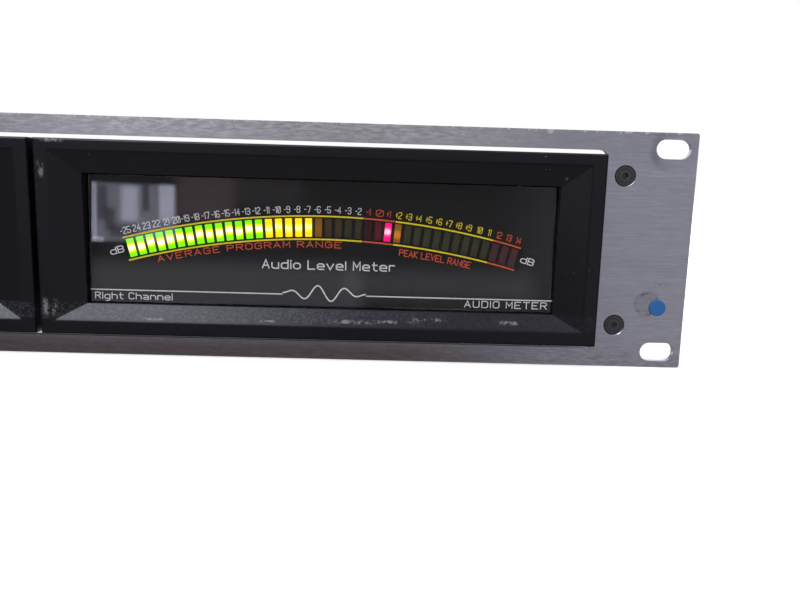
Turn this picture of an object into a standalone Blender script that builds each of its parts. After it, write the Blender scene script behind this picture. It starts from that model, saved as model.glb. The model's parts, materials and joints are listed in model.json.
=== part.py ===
"""Twin arc-scale loudness meter on a two-unit 19 inch rack panel.

+X runs to the right seen from the front, +Y runs to the back, +Z runs up. The origin is at the middle of
the whole object's footprint, level with the bottom edge of the panel.
"""
import math

import bmesh
import bpy
from mathutils import Vector

MM = 0.001

# Rack panel
PANEL_WIDTH = 482.6 * MM
PANEL_HEIGHT = 88.1 * MM
PANEL_THICK = 2.3 * MM
PANEL_CORNER = 0.8 * MM
SLOT_SPAN_X = 464.5 * MM
SLOT_SPAN_Z = 76.2 * MM
SLOT_WIDTH = 12.9 * MM
SLOT_HEIGHT = 7.1 * MM
CUTOUT_WIDTH = 415.8 * MM
CUTOUT_HEIGHT = 74.4 * MM
CUTOUT_CORNER = 2.4 * MM

# Bezel of one meter
BEZEL_WIDTH = 206.2 * MM
BEZEL_HEIGHT = 71.2 * MM
BEZEL_PROUD = 5.5 * MM
BEZEL_BACK = 14.0 * MM
SEAM_GAP = 1.7 * MM
RIM_WIDTH = 5.0 * MM
RIM_ROLL = 1.6 * MM
OPENING_SIDE = 16.0 * MM
OPENING_TOP = 12.2 * MM
OPENING_BOTTOM = 11.2 * MM
BEVEL_HEAD = -2.2 * MM
BEVEL_FOOT = -1.2 * MM
BEVEL_STEPS = 6

# Slightly leaning display, measured square to its own face
DISPLAY_FOOT = 0.8 * MM
DISPLAY_HEAD = 2.6 * MM
DISPLAY_GAP = 0.4 * MM
WINDOW_THICK = 2.0 * MM
MASK_THICK = 1.0 * MM
CARRIER_THICK = 4.4 * MM
BOARD_THICK = 1.6 * MM
ARC_RADIUS = 279.9 * MM
ARC_TOP = 5.6 * MM
SEGMENT_COUNT = 40
SEGMENT_PITCH = 3.728 * MM
SEGMENT_WIDTH = 2.6 * MM
SEGMENT_HEIGHT = 6.9 * MM

# Case of one meter
CASE_WIDTH = 200.0 * MM
CASE_HEIGHT = 66.0 * MM
CASE_FRONT = 14.4 * MM
CASE_BACK = 155.0 * MM
SHEET = 1.2 * MM
GAP = 0.3 * MM

# Rear panel fittings, local x from the middle of the meter and z from the middle of the panel
REAR_SHEET = 1.5 * MM
INLET_X, INLET_Z = -64.0 * MM, -6.0 * MM
FUSE_X, FUSE_Z = -28.0 * MM, -6.0 * MM
SELECTOR_X, SELECTOR_Z = -5.0 * MM, -6.0 * MM
LEVEL_X, LEVEL_Z = 24.0 * MM, -6.0 * MM
XLR_X, XLR_Z = 64.0 * MM, -3.0 * MM
KNOB_PROUD = 9.0 * MM

# Screws and brackets that hold the meters to the panel
SCREW_X = 215.1 * MM
SCREW_Z = 28.0 * MM
SCREW_HEAD = 7.4 * MM
SCREW_SHANK = 3.5 * MM
SCREW_LENGTH = 8.0 * MM
BRACKET_DEPTH = 60.0 * MM
BRACKET_SHEET = 1.6 * MM

# The front face of the panel lies this far in front of the origin
FRONT_Y = -(CASE_BACK + KNOB_PROUD - BEZEL_PROUD) / 2.0
MIDDLE_Z = PANEL_HEIGHT / 2.0
METER_X = (BEZEL_WIDTH + SEAM_GAP) / 2.0
LEAN_SPAN = BEZEL_HEIGHT - OPENING_TOP - OPENING_BOTTOM
LEAN = math.atan2(DISPLAY_HEAD - DISPLAY_FOOT, LEAN_SPAN)


def clear_scene():
    for old in list(bpy.data.objects):
        bpy.data.objects.remove(old, do_unlink=True)


def material(name, colour, roughness, metallic=0.0):
    mat = bpy.data.materials.new(name)
    mat.use_nodes = True
    shader = mat.node_tree.nodes["Principled BSDF"]
    shader.inputs["Base Color"].default_value = (*colour, 1.0)
    shader.inputs["Roughness"].default_value = roughness
    shader.inputs["Metallic"].default_value = metallic
    return mat


def frame_at(name, x, y, z, lean=0.0, parent=None):
    """An empty whose own axes the pieces below it are modelled in."""
    empty = bpy.data.objects.new(name, None)
    bpy.context.collection.objects.link(empty)
    empty.location = (x, y, z)
    empty.rotation_euler = (-lean, 0.0, 0.0)
    empty.parent = parent
    return empty


def make_object(name, bm, mat, parent, location=(0.0, 0.0, 0.0)):
    bmesh.ops.recalc_face_normals(bm, faces=bm.faces)
    mesh = bpy.data.meshes.new(name)
    bm.to_mesh(mesh)
    bm.free()
    if mat:
        mesh.materials.append(mat)
    obj = bpy.data.objects.new(name, mesh)
    bpy.context.collection.objects.link(obj)
    obj.parent = parent
    obj.location = location
    return obj


def add_box(bm, low, high):
    corners = [(x, y, z) for x in (low[0], high[0]) for y in (low[1], high[1]) for z in (low[2], high[2])]
    verts = [bm.verts.new(corner) for corner in corners]
    for face in ((0, 1, 3, 2), (4, 6, 7, 5), (0, 4, 5, 1), (2, 3, 7, 6), (0, 2, 6, 4), (1, 5, 7, 3)):
        bm.faces.new([verts[i] for i in face])


def box(name, low, high, mat, parent, location=(0.0, 0.0, 0.0)):
    bm = bmesh.new()
    add_box(bm, low, high)
    return make_object(name, bm, mat, parent, location)


def prism(name, outline, start, depth, mat, parent, location=(0.0, 0.0, 0.0), axis="Y"):
    """Extrudes a closed outline, given as pairs, along one axis."""
    bm = bmesh.new()
    if axis == "Y":
        ring = [bm.verts.new((a, start, b)) for a, b in outline]
        move = Vector((0.0, depth, 0.0))
    else:
        ring = [bm.verts.new((start, a, b)) for a, b in outline]
        move = Vector((depth, 0.0, 0.0))
    face = bm.faces.new(ring)
    moved = bmesh.ops.extrude_face_region(bm, geom=[face])["geom"]
    bmesh.ops.translate(bm, vec=move, verts=[v for v in moved if isinstance(v, bmesh.types.BMVert)])
    return make_object(name, bm, mat, parent, location)


def lathe(name, profile, mat, parent, location=(0.0, 0.0, 0.0), sides=20):
    """Turns (y, radius) pairs about the Y axis into a closed solid."""
    bm = bmesh.new()
    rings = []
    for y, radius in profile:
        ring = []
        for i in range(sides):
            turn = math.tau * i / sides
            ring.append(bm.verts.new((radius * math.cos(turn), y, radius * math.sin(turn))))
        rings.append(ring)
    for near, far in zip(rings, rings[1:]):
        for i in range(sides):
            j = (i + 1) % sides
            bm.faces.new((near[i], near[j], far[j], far[i]))
    bm.faces.new(rings[0])
    bm.faces.new(rings[-1])
    return make_object(name, bm, mat, parent, location)


def rounded_rectangle(width, height, radius, x=0.0, z=0.0, steps=3):
    points = []
    for quarter, (sx, sz) in enumerate(((1, 1), (-1, 1), (-1, -1), (1, -1))):
        cx, cz = x + sx * (width / 2 - radius), z + sz * (height / 2 - radius)
        for step in range(steps + 1):
            turn = math.pi / 2 * (quarter + step / steps)
            points.append((cx + radius * math.cos(turn), cz + radius * math.sin(turn)))
    return points


def circle(radius, x=0.0, z=0.0, sides=20):
    return [(x + radius * math.cos(math.tau * i / sides), z + radius * math.sin(math.tau * i / sides))
            for i in range(sides)]


def cutter(name, outline, start, depth, parent, axis="Y"):
    tool = prism(name, outline, start, depth, None, parent, axis=axis)
    tool.hide_render = True
    tool.display_type = "WIRE"
    return tool


def boolean(target, tool, operation="DIFFERENCE"):
    modifier = target.modifiers.new(tool.name, "BOOLEAN")
    modifier.operation = operation
    modifier.object = tool
    modifier.solver = "EXACT"


def cut_through(target, outlines, start, depth, parent, axis="Y"):
    for number, outline in enumerate(outlines):
        boolean(target, cutter(f"{target.name}_cut{number}", outline, start, depth, parent, axis))


# Rack panel and what fastens to it

def build_rack_panel(mats, front):
    outline = rounded_rectangle(PANEL_WIDTH, PANEL_HEIGHT, PANEL_CORNER, steps=2)
    panel = prism("rack_panel", outline, 0.0, PANEL_THICK, mats["panel"], front)
    openings = [rounded_rectangle(CUTOUT_WIDTH, CUTOUT_HEIGHT, CUTOUT_CORNER)]
    for side in (-1, 1):
        for level in (-1, 1):
            openings.append(rounded_rectangle(SLOT_WIDTH, SLOT_HEIGHT, SLOT_HEIGHT / 2 - 0.01 * MM,
                                              side * SLOT_SPAN_X / 2, level * SLOT_SPAN_Z / 2, steps=5))
    cut_through(panel, openings, -1 * MM, PANEL_THICK + 2 * MM, front)
    hole = SCREW_SHANK / 2 + GAP
    sink = SCREW_HEAD / 2 + GAP
    for side in (-1, 1):
        for level in (-1, 1):
            seat = lathe(f"screw_seat_{side}_{level}",
                         [(-sink, 2 * sink), (sink - hole, hole), (PANEL_THICK + MM, hole)],
                         None, front, (side * SCREW_X, 0.0, level * SCREW_Z))
            seat.hide_render = True
            seat.display_type = "WIRE"
            boolean(panel, seat)
    return panel


def build_panel_screws(mats, front):
    head, shank = SCREW_HEAD / 2, SCREW_SHANK / 2
    socket = circle(1.1 * MM, sides=6)
    for side, side_name in ((-1, "left"), (1, "right")):
        for level, level_name in ((-1, "lower"), (1, "upper")):
            name = f"panel_screw_{side_name}_{level_name}"
            place = (side * SCREW_X, 0.0, level * SCREW_Z)
            screw = lathe(name, [(0.05 * MM, head), (head - shank, shank), (SCREW_LENGTH, shank)],
                          mats["screw"], front, place, sides=16)
            tool = cutter(f"{name}_socket", socket, -MM, 2.2 * MM, front)
            tool.location = place
            boolean(screw, tool)


def build_brackets(mats, front):
    """L brackets behind the panel that the meter cases are screwed to."""
    for side, side_name in ((-1, "left"), (1, "right")):
        inner = METER_X + BEZEL_WIDTH / 2 + 2 * GAP
        outer = SCREW_X + 8 * MM
        start = PANEL_THICK + GAP
        profile = [(side * inner, start), (side * outer, start), (side * outer, start + BRACKET_SHEET),
                   (side * (inner + BRACKET_SHEET), start + BRACKET_SHEET),
                   (side * (inner + BRACKET_SHEET), start + BRACKET_DEPTH),
                   (side * inner, start + BRACKET_DEPTH)]
        bm = bmesh.new()
        ring = [bm.verts.new((x, y, -CASE_HEIGHT / 2)) for x, y in profile]
        moved = bmesh.ops.extrude_face_region(bm, geom=[bm.faces.new(ring)])["geom"]
        bmesh.ops.translate(bm, vec=(0.0, 0.0, CASE_HEIGHT),
                            verts=[v for v in moved if isinstance(v, bmesh.types.BMVert)])
        bracket = make_object(f"side_bracket_{side_name}", bm, mats["steel"], front)
        holes = [circle(SCREW_SHANK / 2 + GAP, side * SCREW_X, level * SCREW_Z, 12) for level in (-1, 1)]
        cut_through(bracket, holes, 0.0, 2 * start + BRACKET_SHEET, front)


def build_link_plate(mats, front):
    """Flat strap over the rear of both cases that keeps them level with each other."""
    top = CASE_HEIGHT / 2 + SHEET + 2 * GAP
    low, high = (-30 * MM, 95 * MM, top), (30 * MM, 113 * MM, top + BRACKET_SHEET)
    box("link_plate", low, high, mats["steel"], front)


def build_marker_dot(mats, front):
    lathe("marker_dot", [(-0.4 * MM, 2.9 * MM), (-0.3 * MM, 3.05 * MM), (-0.02 * MM, 3.05 * MM)], mats["dot"],
          front, (231.0 * MM, -GAP, -21.0 * MM), sides=24)


# Front of one meter

def rectangle_loop(bm, side, top, bottom, y_foot, y_head=None):
    """Rectangle inside the bezel's outline, with steps up its sides so that it may lean back too."""
    y_head = y_foot if y_head is None else y_head
    edge, low, high = BEZEL_WIDTH / 2 - side, -BEZEL_HEIGHT / 2 + bottom, BEZEL_HEIGHT / 2 - top
    climb = [i / BEVEL_STEPS for i in range(BEVEL_STEPS + 1)]
    places = [(edge, t) for t in climb] + [(-edge, t) for t in reversed(climb)]
    return [bm.verts.new((x, y_foot + (y_head - y_foot) * t, low + (high - low) * t)) for x, t in places]


def build_bezel(tag, mats, parent):
    """Moulded frame: flat rim, rolled edge, sloping bevel, then a deep recess with square walls."""
    roll = RIM_WIDTH + RIM_ROLL
    back = BEZEL_BACK
    ease = 0.6 * MM
    bm = bmesh.new()
    loops = [rectangle_loop(bm, 0.0, 0.0, 0.0, -BEZEL_PROUD + ease),
             rectangle_loop(bm, ease, ease, ease, -BEZEL_PROUD),
             rectangle_loop(bm, RIM_WIDTH, RIM_WIDTH - MM, RIM_WIDTH, -BEZEL_PROUD),
             rectangle_loop(bm, roll, roll - MM, roll, -BEZEL_PROUD + RIM_ROLL / 2),
             rectangle_loop(bm, OPENING_SIDE, OPENING_TOP, OPENING_BOTTOM, BEVEL_FOOT, BEVEL_HEAD),
             rectangle_loop(bm, OPENING_SIDE, OPENING_TOP, OPENING_BOTTOM, back),
             rectangle_loop(bm, 0.0, 0.0, 0.0, back)]
    count = len(loops[0])
    for near, far in zip(loops, loops[1:] + loops[:1]):
        for i in range(count):
            j = (i + 1) % count
            bm.faces.new((near[i], near[j], far[j], far[i]))
    make_object(f"bezel_{tag}", bm, mats["bezel"], parent)


def arc_band(half_angle, inner, outer, steps):
    """Outline of a band about the scale's centre, in the display's own plane."""
    centre = ARC_TOP - ARC_RADIUS
    turns = [half_angle * (2 * i / steps - 1) for i in range(steps + 1)]
    upper = [(outer * math.sin(a), centre + outer * math.cos(a)) for a in turns]
    lower = [(inner * math.sin(a), centre + inner * math.cos(a)) for a in reversed(turns)]
    return upper + lower


def build_display(tag, mats, parent):
    """Window, mask, light bars and their board, stacked square to the leaning display."""
    middle = (OPENING_BOTTOM - OPENING_TOP) / 2
    depth = (DISPLAY_FOOT + DISPLAY_HEAD) / 2
    lean = frame_at(f"display_frame_{tag}", 0.0, depth, middle, LEAN, parent)
    half_w = BEZEL_WIDTH / 2 - OPENING_SIDE - DISPLAY_GAP
    half_h = LEAN_SPAN / math.cos(LEAN) / 2 - DISPLAY_GAP

    def layer(name, front, thick, mat):
        """A plate behind the opening, raised as it goes back so that it clears the level walls."""
        rise = (front + thick / 2) * math.tan(LEAN)
        low, high = (-half_w, front, rise - half_h), (half_w, front + thick, rise + half_h)
        return box(f"{name}_{tag}", low, high, mat, lean)

    layer("window", 0.0, WINDOW_THICK, mats["window"])
    mask_front = WINDOW_THICK + GAP
    mask_back = mask_front + MASK_THICK
    mask = layer("dial_mask", mask_front, MASK_THICK, mats["mask"])
    half_angle = (SEGMENT_COUNT / 2) * SEGMENT_PITCH / ARC_RADIUS
    slot_half = SEGMENT_HEIGHT / 2 + 0.4 * MM
    slot = arc_band(half_angle + 0.004, ARC_RADIUS - slot_half, ARC_RADIUS + slot_half, 20)
    slot = [(x, z - middle) for x, z in slot]
    cut_through(mask, [slot], mask_front - MM, MASK_THICK + 2 * MM, lean)

    build_light_bars(tag, mats, lean, mask_front, half_angle, middle)

    layer("display_board", mask_back + 2 * GAP + CARRIER_THICK, BOARD_THICK, mats["board"])


def build_light_bars(tag, mats, lean, bar_front, half_angle, middle):
    """Carrier that follows the arc, with one raised bar for each of the forty segments."""
    carrier_front = bar_front + MASK_THICK + GAP
    carrier_back = carrier_front + CARRIER_THICK
    half = SEGMENT_HEIGHT / 2
    centre = ARC_TOP - ARC_RADIUS - middle
    bm = bmesh.new()
    inner, outer = ARC_RADIUS - half, ARC_RADIUS + half
    pitch = SEGMENT_PITCH / ARC_RADIUS
    width = SEGMENT_WIDTH / ARC_RADIUS

    def column(angle, y):
        return [bm.verts.new((r * math.sin(angle), y, centre + r * math.cos(angle))) for r in (inner, outer)]

    edges = []
    for number in range(SEGMENT_COUNT):
        mid = (number - (SEGMENT_COUNT - 1) / 2) * pitch
        edges += [(mid - width / 2, True), (mid + width / 2, False)]
    edges = [(-half_angle, False)] + edges + [(half_angle, False)]
    face_columns = [column(angle, carrier_front) for angle, _ in edges]
    back_columns = [column(angle, carrier_back) for angle, _ in edges]
    for i in range(len(edges) - 1):
        a, b = back_columns[i], back_columns[i + 1]
        bm.faces.new((a[0], a[1], b[1], b[0]))
        c, d = face_columns[i], face_columns[i + 1]
        bm.faces.new((c[0], d[0], b[0], a[0]))
        bm.faces.new((c[1], a[1], b[1], d[1]))
        if edges[i][1]:
            raised = [column(edges[i][0], bar_front), column(edges[i + 1][0], bar_front)]
            p, q = raised
            bm.faces.new((p[0], q[0], q[1], p[1]))
            bm.faces.new((c[0], p[0], p[1], c[1]))
            bm.faces.new((d[0], d[1], q[1], q[0]))
            bm.faces.new((c[0], d[0], q[0], p[0]))
            bm.faces.new((c[1], p[1], q[1], d[1]))
        else:
            bm.faces.new((c[0], d[0], d[1], c[1]))
    for c, a in ((face_columns[0], back_columns[0]), (face_columns[-1], back_columns[-1])):
        bm.faces.new((c[0], c[1], a[1], a[0]))
    make_object(f"light_bars_{tag}", bm, mats["bars"], lean)


# Case of one meter

def build_case(tag, mats, parent):
    half_w, half_h = CASE_WIDTH / 2, CASE_HEIGHT / 2
    tray = [(-half_w, -half_h), (half_w, -half_h), (half_w, half_h), (half_w - SHEET, half_h),
            (half_w - SHEET, -half_h + SHEET), (-half_w + SHEET, -half_h + SHEET), (-half_w + SHEET, half_h),
            (-half_w, half_h)]
    tray = prism(f"case_tray_{tag}", tray, CASE_FRONT, CASE_BACK - CASE_FRONT, mats["case"], parent)
    vents = [rounded_rectangle(60 * MM, 3 * MM, 1.4 * MM, x, 60 * MM + 9 * MM * i, steps=2)
             for x in (-45 * MM, 45 * MM) for i in range(4)]
    for number, outline in enumerate(vents):
        tool = prism(f"tray_vent_{tag}_{number}", outline, 0.0, 3 * SHEET, None, parent)
        tool.rotation_euler = (math.pi / 2, 0.0, 0.0)
        tool.location = (0.0, 146 * MM, -half_h - SHEET)
        tool.hide_render = True
        tool.display_type = "WIRE"
        boolean(tray, tool)

    top, skirt, reach = half_h + GAP, half_h - 9 * MM, half_w + GAP
    cover = [(-reach - SHEET, skirt), (-reach, skirt), (-reach, top), (reach, top), (reach, skirt),
             (reach + SHEET, skirt), (reach + SHEET, top + SHEET), (-reach - SHEET, top + SHEET)]
    prism(f"top_cover_{tag}", cover, CASE_FRONT, CASE_BACK - CASE_FRONT, mats["case"], parent)


def build_rear_panel(tag, mats, parent):
    half_w = CASE_WIDTH / 2 - SHEET - GAP
    low, high = -CASE_HEIGHT / 2 + SHEET + GAP, CASE_HEIGHT / 2 - GAP
    back = CASE_BACK
    rear = box(f"rear_panel_{tag}", (-half_w, back - REAR_SHEET, low), (half_w, back, high), mats["case"],
               parent)
    holes = [rounded_rectangle(27.6 * MM, 20.4 * MM, 1.5 * MM, INLET_X, INLET_Z, steps=2),
             circle(6.4 * MM, FUSE_X, FUSE_Z),
             rounded_rectangle(9.6 * MM, 6.6 * MM, 0.5 * MM, SELECTOR_X, SELECTOR_Z, steps=1),
             circle(3.8 * MM, LEVEL_X, LEVEL_Z, 16),
             circle(12.2 * MM, XLR_X, XLR_Z, 28),
             rounded_rectangle(7 * MM, 5.4 * MM, 0.5 * MM, XLR_X, XLR_Z + 12 * MM, steps=1)]
    cut_through(rear, holes, back - REAR_SHEET - MM, REAR_SHEET + 2 * MM, parent)


def build_power_inlet(tag, mats, parent):
    """Recessed mains inlet with its flange and three pins."""
    flange = rounded_rectangle(50 * MM, 23 * MM, 3 * MM, steps=2)
    back = CASE_BACK + GAP
    place = (INLET_X, 0.0, INLET_Z)
    inlet = prism(f"power_inlet_{tag}", flange, back, 3 * MM, mats["plastic"], parent, place)
    body = cutter(f"inlet_body_{tag}", rounded_rectangle(27 * MM, 19.8 * MM, 1.3 * MM, steps=2),
                  back - 24 * MM, 24.5 * MM, parent)
    body.location = place
    boolean(inlet, body, "UNION")
    cavity = cutter(f"inlet_cavity_{tag}", rounded_rectangle(24 * MM, 16 * MM, 4 * MM, steps=2),
                    back - 14 * MM, 30 * MM, parent)
    cavity.location = place
    boolean(inlet, cavity)
    for number, (x, z) in enumerate(((-7 * MM, -2 * MM), (0.0, 2 * MM), (7 * MM, -2 * MM))):
        pin = cutter(f"inlet_pin_{tag}_{number}", [(x - MM, z - 2 * MM), (x + MM, z - 2 * MM),
                                                   (x + MM, z + 2 * MM), (x - MM, z + 2 * MM)],
                     back - 14.5 * MM, 15 * MM, parent)
        pin.location = place
        boolean(inlet, pin, "UNION")


def build_fuse(tag, mats, parent):
    """Panel fuse holder, its glass fuse, and the bayonet cap that turns to let the fuse out."""
    place = (FUSE_X, 0.0, FUSE_Z)
    back = CASE_BACK
    barrel = [(back - 34 * MM, 4 * MM), (back - 30 * MM, 6 * MM), (back + GAP, 6 * MM), (back + GAP, 8 * MM),
              (back + 2.5 * MM, 8 * MM)]
    holder = lathe(f"fuse_holder_{tag}", barrel, mats["plastic"], parent, place)
    bore = lathe(f"fuse_bore_{tag}", [(back - 28 * MM, 3.4 * MM), (back + 9 * MM, 3.4 * MM)], None, parent,
                 place)
    bore.hide_render = True
    bore.display_type = "WIRE"
    boolean(holder, bore)
    tube = [(back - 27 * MM, 2.6 * MM), (back - 7 * MM, 2.6 * MM)]
    lathe(f"fuse_{tag}", tube, mats["glass"], parent, place, 12)
    cap_start = back + 2.5 * MM + GAP
    cap = lathe(f"fuse_cap_{tag}", [(back - 6.5 * MM, 3 * MM), (cap_start, 3 * MM), (cap_start, 5.8 * MM),
                                    (back + KNOB_PROUD - 0.6 * MM, 5.4 * MM), (back + KNOB_PROUD, 4.8 * MM)],
                mats["plastic"], parent, place)
    slit = cutter(f"fuse_cap_slit_{tag}", [(-4 * MM, -0.6 * MM), (4 * MM, -0.6 * MM), (4 * MM, 0.6 * MM),
                                           (-4 * MM, 0.6 * MM)], back + KNOB_PROUD - 1.2 * MM, 3 * MM, parent)
    slit.location = place
    boolean(cap, slit)


def build_selector(tag, mats, parent):
    """Mains voltage selector: a slide switch read through a slot in the rear panel."""
    place = (SELECTOR_X, 0.0, SELECTOR_Z)
    front = CASE_BACK - REAR_SHEET - GAP - 9 * MM
    body = box(f"voltage_switch_{tag}", (-11 * MM, front, -5.5 * MM), (11 * MM, front + 9 * MM, 5.5 * MM),
               mats["plastic"], parent, place)
    pocket = cutter(f"selector_pocket_{tag}", [(-4.4 * MM, -3 * MM), (4.4 * MM, -3 * MM), (4.4 * MM, 3 * MM),
                                               (-4.4 * MM, 3 * MM)], front + 4 * MM, 9 * MM, parent)
    pocket.location = place
    boolean(body, pocket)
    box(f"voltage_slider_{tag}", (-1.9 * MM, 0.0, -2.5 * MM), (1.9 * MM, 6.2 * MM, 2.5 * MM), mats["slider"],
        parent, (SELECTOR_X - 2.1 * MM, front + 4 * MM + GAP, SELECTOR_Z))


def build_level_control(tag, mats, parent):
    """Input level trimmer with a slotted rotor that a screwdriver reaches from behind."""
    place = (LEVEL_X, 0.0, LEVEL_Z)
    back = CASE_BACK - REAR_SHEET - GAP
    body = box(f"level_trimmer_{tag}", (-6 * MM, back - 8 * MM, -8 * MM), (6 * MM, back, 6 * MM),
               mats["blue"], parent, place)
    well = cutter(f"level_well_{tag}", circle(3.2 * MM, sides=16), back - 4 * MM, 9 * MM, parent)
    well.location = place
    boolean(body, well)
    rotor = lathe(f"level_rotor_{tag}", [(0.0, 2.8 * MM), (4.6 * MM, 2.8 * MM), (5.0 * MM, 2.4 * MM)],
                  mats["slider"], parent, (LEVEL_X, back - 4 * MM + GAP, LEVEL_Z), 16)
    slit = cutter(f"level_slit_{tag}", [(-3.4 * MM, -0.4 * MM), (3.4 * MM, -0.4 * MM), (3.4 * MM, 0.4 * MM),
                                        (-3.4 * MM, 0.4 * MM)], back - 4 * MM + GAP + 4 * MM, 3 * MM, parent)
    slit.location = place
    boolean(rotor, slit)


def build_signal_socket(tag, mats, parent):
    """Female three-pole signal socket with its press-down release tab."""
    place = (XLR_X, 0.0, XLR_Z)
    back = CASE_BACK + GAP
    flange = rounded_rectangle(26 * MM, 31 * MM, 3 * MM, steps=2)
    socket = prism(f"signal_socket_{tag}", flange, back, 2.5 * MM, mats["socket"], parent, place)
    barrel = cutter(f"socket_barrel_{tag}", circle(11.8 * MM, sides=28), back - 20 * MM, 21 * MM, parent)
    barrel.location = place
    boolean(socket, barrel, "UNION")
    groove = [(back - 12 * MM, 9.6 * MM), (back + 9 * MM, 9.6 * MM)]
    middle = [(back - 12.5 * MM, 7.6 * MM), (back + 1.5 * MM, 7.6 * MM)]
    ring = lathe(f"socket_ring_{tag}", groove, None, parent, place, 24)
    core = lathe(f"socket_core_{tag}", middle, None, parent, place, 24)
    for tool in (ring, core):
        tool.hide_render = True
        tool.display_type = "WIRE"
    boolean(socket, ring)
    boolean(socket, core, "UNION")
    for number in range(3):
        turn = math.radians(-90 + 120 * number)
        x, z = 4 * MM * math.cos(turn), 4 * MM * math.sin(turn)
        hole = cutter(f"socket_hole_{tag}_{number}", circle(1.5 * MM, x, z, 10), back - 9 * MM, 20 * MM,
                      parent)
        hole.location = place
        boolean(socket, hole)
    notch = cutter(f"socket_notch_{tag}", [(-3.3 * MM, 9 * MM), (3.3 * MM, 9 * MM), (3.3 * MM, 14.4 * MM),
                                           (-3.3 * MM, 14.4 * MM)], back - 4 * MM, 9 * MM, parent)
    notch.location = place
    boolean(socket, notch)
    box(f"socket_tab_{tag}", (-2.9 * MM, 0.0, -2.1 * MM), (2.9 * MM, 6.6 * MM, 2.1 * MM), mats["slider"],
        parent, (XLR_X, back - 1.2 * MM, XLR_Z + 12.0 * MM))


# Inside of one meter

def build_inside(tag, mats, parent):
    floor = -CASE_HEIGHT / 2 + SHEET
    board_low = floor + 6 * MM
    board_top = board_low + BOARD_THICK
    main = box(f"main_board_{tag}", (-92 * MM, 26 * MM, board_low), (92 * MM, 118 * MM, board_top),
               mats["board"], parent)
    feet = [(x, y) for x in (-86 * MM, 86 * MM) for y in (32 * MM, 112 * MM)]
    for number, (x, y) in enumerate(feet):
        foot = box(f"board_foot_{tag}_{number}", (x - 3 * MM, y - 3 * MM, floor + GAP),
                   (x + 3 * MM, y + 3 * MM, board_low + MM), None, parent)
        foot.hide_render = True
        foot.display_type = "WIRE"
        boolean(main, foot, "UNION")
    box(f"board_link_{tag}", (-30 * MM, 19.5 * MM, board_top + GAP), (30 * MM, 27 * MM, board_top + 8 * MM),
        mats["plastic"], parent)

    core_low = board_top + GAP
    core = box(f"transformer_core_{tag}", (-78 * MM, 70 * MM, core_low),
               (-36 * MM, 104 * MM, core_low + 34 * MM), mats["steel"], parent)
    windows = [[(70 * MM + a, core_low + b) for a, b in ((5.5 * MM, 6 * MM), (12 * MM, 6 * MM),
                                                         (12 * MM, 28 * MM), (5.5 * MM, 28 * MM))],
               [(70 * MM + a, core_low + b) for a, b in ((22 * MM, 6 * MM), (28.5 * MM, 6 * MM),
                                                         (28.5 * MM, 28 * MM), (22 * MM, 28 * MM))]]
    cut_through(core, windows, -80 * MM, 46 * MM, parent, axis="X")
    coil_outline = [(76 * MM, core_low + 6.5 * MM), (98 * MM, core_low + 6.5 * MM),
                    (98 * MM, core_low + 27.5 * MM), (76 * MM, core_low + 27.5 * MM)]
    coil = prism(f"transformer_coil_{tag}", coil_outline, -82 * MM, 50 * MM, mats["copper"], parent, axis="X")
    leg = [(82 * MM - 0.3 * MM, core_low + 3 * MM), (92 * MM + 0.3 * MM, core_low + 3 * MM),
           (92 * MM + 0.3 * MM, core_low + 31 * MM), (82 * MM - 0.3 * MM, core_low + 31 * MM)]
    leg_tool = cutter(f"coil_leg_{tag}", leg, -78.3 * MM, 42.6 * MM, parent, axis="X")
    boolean(coil, leg_tool)

    cap = lathe(f"reservoir_capacitor_{tag}", [(0.0, 8 * MM), (25 * MM, 8 * MM), (25.6 * MM, 7.2 * MM)],
                mats["sleeve"], parent, (-16 * MM, 92 * MM, board_top + GAP))
    cap.rotation_euler = (math.pi / 2, 0.0, 0.0)

    base, root, tip = 84 * MM, 87 * MM, 98 * MM
    fins = [(6 * MM, base), (36 * MM, base), (36 * MM, tip), (34 * MM, tip), (34 * MM, root), (28 * MM, root),
            (28 * MM, tip), (26 * MM, tip), (26 * MM, root), (16 * MM, root), (16 * MM, tip), (14 * MM, tip),
            (14 * MM, root), (8 * MM, root), (8 * MM, tip), (6 * MM, tip)]
    bm = bmesh.new()
    ring = [bm.verts.new((x, y, board_top + GAP)) for x, y in fins]
    moved = bmesh.ops.extrude_face_region(bm, geom=[bm.faces.new(ring)])["geom"]
    bmesh.ops.translate(bm, vec=(0.0, 0.0, 28 * MM),
                        verts=[v for v in moved if isinstance(v, bmesh.types.BMVert)])
    make_object(f"heat_sink_{tag}", bm, mats["aluminium"], parent)
    box(f"regulator_{tag}", (16 * MM, 79 * MM, board_top + 6 * MM),
        (26 * MM, base - GAP, board_top + 21 * MM), mats["plastic"], parent)


def build_meter(tag, side, mats, front):
    parent = frame_at(f"meter_frame_{tag}", side * METER_X, 0.0, 0.0, 0.0, front)
    build_bezel(tag, mats, parent)
    build_display(tag, mats, parent)
    build_case(tag, mats, parent)
    build_rear_panel(tag, mats, parent)
    build_power_inlet(tag, mats, parent)
    build_fuse(tag, mats, parent)
    build_selector(tag, mats, parent)
    build_level_control(tag, mats, parent)
    build_signal_socket(tag, mats, parent)
    build_inside(tag, mats, parent)


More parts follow.
